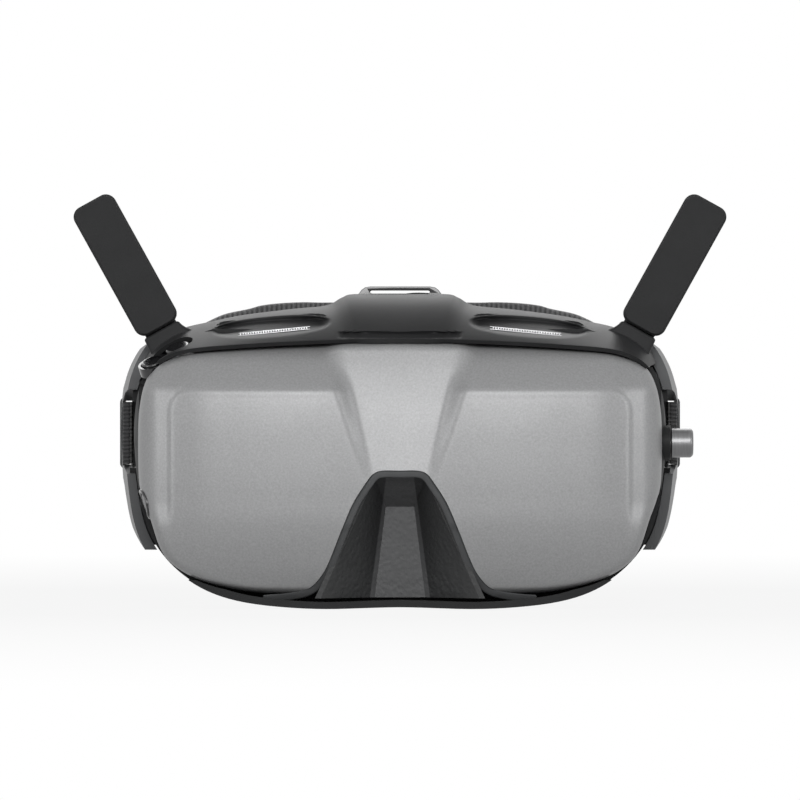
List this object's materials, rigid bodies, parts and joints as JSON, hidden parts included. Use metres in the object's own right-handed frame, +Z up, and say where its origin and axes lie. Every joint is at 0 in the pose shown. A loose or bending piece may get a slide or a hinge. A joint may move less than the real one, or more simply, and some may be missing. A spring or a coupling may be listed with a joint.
{
  "type": "fpv goggles",
  "caption": "Video goggles for flying model aircraft, with a silver front, two folding aerials, sliding eyepieces and a battery headband",
  "frame": {"origin": "The middle of the overall box, on the surface that the goggles stand on.", "axes": "+Z up. -Y faces away from the wearer, and the headband runs to +Y. +X is the wearer's left."},
  "size_m": [0.2068, 0.2404, 0.1307],
  "materials": {
    "cover_silver": "satin silver with a fine speckle",
    "shell_dark": "fine matt charcoal",
    "trim_grey": "matt grey",
    "nose_black": "grained black",
    "plate_grey": "smooth satin grey",
    "gloss_black": "gloss black",
    "grille_metal": "fine steel mesh",
    "knob_metal": "satin turned aluminium",
    "steel": "plain steel",
    "foam_grey": "ribbed knit over foam",
    "rubber_black": "soft matt rubber",
    "strap_fabric": "woven elastic band",
    "lens_glass": "coated clear lens",
    "screen_dark": "dark glossy screen",
    "board_green": "solder-masked board",
    "chip_black": "moulded chip body",
    "sink_metal": "bare aluminium",
    "cell_wrap": "foil-wrapped cell",
    "light_lens": "frosted light guide"
  },
  "bodies": {
    "root": {"aerial_mount_left": "shell_dark", "aerial_mount_right": "shell_dark", "aerial_pin_left": "steel", "aerial_pin_right": "steel", "board_bolts": "steel", "board_chips": "chip_black", "board_posts": "steel", "bulkhead": "shell_dark", "control_pod": "gloss_black", "dial_collar": "shell_dark", "face_foam": "foam_grey", "face_plate": "shell_dark", "fan_frame": "chip_black", "front_cover": "cover_silver", "guide_rods": "steel", "heat_sink": "sink_metal", "link_bezel": "gloss_black", "main_board": "board_green", "main_housing": "shell_dark", "nose_cover": "nose_black", "nose_flap": "rubber_black", "nose_pocket": "nose_black", "notch_trim": "trim_grey", "side_arm_left": "plate_grey", "side_arm_right": "plate_grey", "top_cover": "shell_dark", "top_loop": "gloss_black", "vent_grilles": "grille_metal"},
    "ipd_dial": {"ipd_dial": "knob_metal", "lead_screw": "steel"},
    "eyepiece_left": {"eyepiece_barrel_left": "shell_dark", "display_left": "screen_dark", "eye_lens_left": "lens_glass", "inner_lens_left": "lens_glass"},
    "aerial_left": {"aerial_blade_left": "shell_dark", "aerial_cap_left": "shell_dark"},
    "eyepiece_right": {"eyepiece_barrel_right": "shell_dark", "display_right": "screen_dark", "eye_lens_right": "lens_glass", "inner_lens_right": "lens_glass"},
    "aerial_right": {"aerial_blade_right": "shell_dark", "aerial_cap_right": "shell_dark"},
    "fan_rotor": {"fan_rotor": "chip_black"},
    "stick_ring": {"stick_ring": "steel"},
    "stick_stem": {"stick_stem": "steel"},
    "stick_cap": {"stick_cap": "gloss_black"},
    "record_key": {"record_key": "gloss_black"},
    "link_button": {"link_button": "plate_grey"},
    "headband": {"strap_left": "strap_fabric", "strap_right": "strap_fabric", "pack_case": "shell_dark", "pack_lid": "plate_grey", "pack_lights": "light_lens", "battery_cells": "cell_wrap", "pack_board": "board_green", "rear_pad": "foam_grey"},
    "power_key": {"power_key": "plate_grey"}
  },
  "joints": [
    {"name": "ipd_dial_turn", "type": "hinge", "parent": "root", "child": "ipd_dial", "pos_m": [0.0855, -0.0898, 0.052], "axis": [1, 0, 0], "range_deg": [-360, 360]},
    {"name": "ipd_slide_left", "type": "slide", "parent": "root", "child": "eyepiece_left", "axis": [1, 0, 0], "range_m": [-0.004, 0.004]},
    {"name": "ipd_slide_right", "type": "slide", "parent": "root", "child": "eyepiece_right", "axis": [-1, 0, 0], "range_m": [-0.004, 0.004]},
    {"name": "fan_spin", "type": "hinge", "parent": "root", "child": "fan_rotor", "pos_m": [0, -0.108, 0.059], "axis": [0, 1, 0], "continuous": true},
    {"name": "stick_tilt_side", "type": "hinge", "parent": "root", "child": "stick_ring", "pos_m": [-0.06909, -0.09759, 0.07883], "axis": [0.9613, 0, 0.2756], "range_deg": [-8, 8], "stiffness_Nm_per_rad": 0.02},
    {"name": "stick_tilt_fore", "type": "hinge", "parent": "stick_ring", "child": "stick_stem", "pos_m": [-0.06909, -0.09759, 0.07883], "axis": [-0.1033, 0.9272, 0.3601], "range_deg": [-8, 8], "stiffness_Nm_per_rad": 0.02},
    {"name": "stick_press", "type": "slide", "parent": "stick_stem", "child": "stick_cap", "axis": [0.2556, 0.3746, -0.8913], "range_m": [0, 0.0004], "stiffness_N_per_m": 2000},
    {"name": "record_press", "type": "slide", "parent": "root", "child": "record_key", "axis": [0.2556, 0.3746, -0.8913], "range_m": [0, 0.0004], "stiffness_N_per_m": 2000},
    {"name": "link_press", "type": "slide", "parent": "root", "child": "link_button", "axis": [1, 0, 0], "range_m": [0, 0.0004], "stiffness_N_per_m": 2000},
    {"name": "aerial_fold_left", "type": "hinge", "parent": "root", "child": "aerial_left", "pos_m": [0.07784, -0.0804, 0.0917], "axis": [-0.8746, 0, 0.4848], "range_deg": [0, 90]},
    {"name": "aerial_fold_right", "type": "hinge", "parent": "root", "child": "aerial_right", "pos_m": [-0.07784, -0.0804, 0.0917], "axis": [-0.8746, 0, -0.4848], "range_deg": [0, 90]},
    {"name": "headband_slide", "type": "slide", "parent": "root", "child": "headband", "axis": [0, 1, 0], "range_m": [0, 0.02]},
    {"name": "power_press", "type": "slide", "parent": "headband", "child": "power_key", "axis": [0, -1, 0], "range_m": [0, 0.0006], "stiffness_N_per_m": 1500}
  ],
  "couplings": [
    {"joint": "ipd_dial_turn", "follows": "ipd_slide_left", "rad_per_m": 1570.8},
    {"joint": "ipd_slide_right", "follows": "ipd_slide_left", "ratio": 1}
  ]
}
